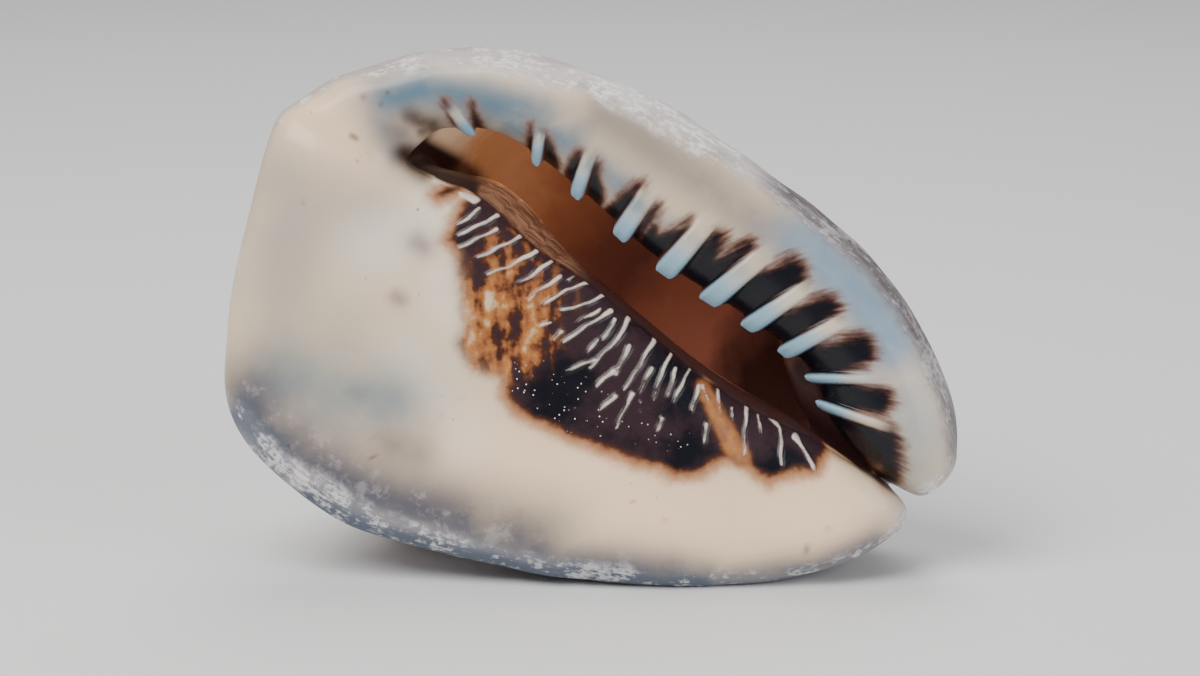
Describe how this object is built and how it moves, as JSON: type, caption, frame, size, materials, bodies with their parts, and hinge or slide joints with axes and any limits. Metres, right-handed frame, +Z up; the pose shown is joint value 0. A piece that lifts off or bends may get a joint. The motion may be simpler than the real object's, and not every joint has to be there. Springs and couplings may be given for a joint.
{
  "type": "helmet shell",
  "caption": "Large worn helmet sea shell resting on its body whorl: glossy face shield, toothed outer lip, ridged columella, siphon notch and a hollow body whorl behind the slanted aperture",
  "frame": {"origin": "middle of the bounding box's bottom, on the ground under the shell", "axes": "+X along the face from the spire's end to the siphon end, +Y back from the face to the body whorl, +Z up"},
  "size_m": [0.1974, 0.1296, 0.1405],
  "materials": {
    "shell": "glossy cream and tan glaze on the face, dark brown to black between the teeth, chalky lavender grey rim and back"
  },
  "bodies": {
    "root": {"shell": "shell"}
  },
  "joints": []
}
